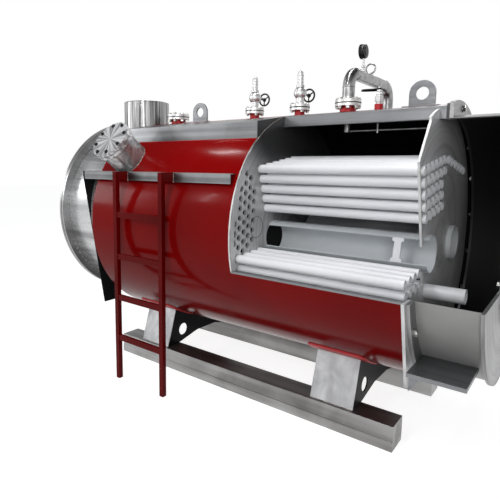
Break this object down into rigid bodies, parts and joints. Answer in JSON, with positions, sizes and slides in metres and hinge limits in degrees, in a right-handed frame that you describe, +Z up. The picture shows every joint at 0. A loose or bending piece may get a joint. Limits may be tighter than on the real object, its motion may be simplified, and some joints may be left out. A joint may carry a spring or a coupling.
{
  "type": "fire-tube boiler",
  "caption": "Industrial fire-tube boiler cut open along one side, with its tube bundles, flues, valves, ladder, smokebox, stack and skids.",
  "frame": {"origin": "on the floor under the middle of the bounding box", "axes": "+X forward along the boiler to its front smokebox, -Y the opened side with the ladder, +Z up"},
  "size_m": [3.101, 1.6474, 2.3135],
  "materials": {
    "red_paint": "glossy red paint",
    "galvanised": "galvanised sheet",
    "polished_steel": "polished stainless sheet",
    "brushed_sheet": "brushed plate",
    "white_tube": "satin white paint",
    "grey_drum": "satin grey paint",
    "cast_silver": "cast and silver painted steel",
    "black_iron": "black enamel",
    "raw_steel": "ground raw steel"
  },
  "bodies": {
    "boiler": {"balance_pipe": "cast_silver", "ball_valve": "cast_silver", "ball_valve_neck": "red_paint", "blind_flanges": "red_paint", "blind_neck": "red_paint", "burner_flange": "grey_drum", "cut_frame_ring": "galvanised", "cut_frame_sill": "galvanised", "cut_frame_top_bar": "galvanised", "drum": "grey_drum", "drum_flange": "galvanised", "flue_far": "white_tube", "flue_near": "white_tube", "flue_stack": "polished_steel", "flue_stay": "white_tube", "front_cover": "grey_drum", "front_plate": "galvanised", "front_shelf": "galvanised", "inner_pipes": "brushed_sheet", "ladder_rungs": "red_paint", "ladder_stile_front": "red_paint", "ladder_stile_rear": "red_paint", "lifting_lugs": "galvanised", "manhole_cover": "polished_steel", "manhole_flange": "polished_steel", "manhole_neck": "polished_steel", "platform": "galvanised", "platform_end_plate": "black_iron", "pressure_gauge": "black_iron", "saddle_pad_front": "red_paint", "saddle_pad_rear": "red_paint", "saddle_plates": "raw_steel", "saddle_webs": "black_iron", "shell": "red_paint", "shell_end_plate": "red_paint", "skid_far": "raw_steel", "skid_near": "raw_steel", "smokebox_cover": "polished_steel", "smokebox_flange": "polished_steel", "smokebox_shell": "polished_steel", "steam_flanges": "cast_silver", "steam_nozzle": "red_paint", "stub_pipe": "white_tube", "syphon_loop": "black_iron", "tube_sheet_front": "brushed_sheet", "tube_sheet_rear": "brushed_sheet", "tubes_lower": "white_tube", "tubes_upper": "white_tube", "valve_front": "cast_silver", "valve_nozzle_front": "red_paint", "valve_nozzle_rear": "red_paint", "valve_rear": "cast_silver", "walk_cover_far": "red_paint", "walk_cover_near": "red_paint", "walk_end_plate": "galvanised", "walk_fascia_far": "galvanised", "walk_fascia_near": "galvanised"},
    "handwheel_rear": {"handwheel_rear": "black_iron"},
    "handwheel_front": {"handwheel_front": "black_iron"},
    "valve_lever": {"valve_lever": "black_iron"}
  },
  "joints": [
    {"name": "handwheel_rear_turn", "type": "hinge", "parent": "boiler", "child": "handwheel_rear", "pos_m": [-0.1255, 0.16879, 2.001], "axis": [0, 1, 0], "range_deg": [0, 720]},
    {"name": "handwheel_front_turn", "type": "hinge", "parent": "boiler", "child": "handwheel_front", "pos_m": [0.2415, 0.16879, 2.001], "axis": [0, 1, 0], "range_deg": [0, 720]},
    {"name": "valve_lever_turn", "type": "hinge", "parent": "boiler", "child": "valve_lever", "pos_m": [0.7805, 0.04379, 1.979], "axis": [0, 0, 1], "range_deg": [0, 90]}
  ]
}
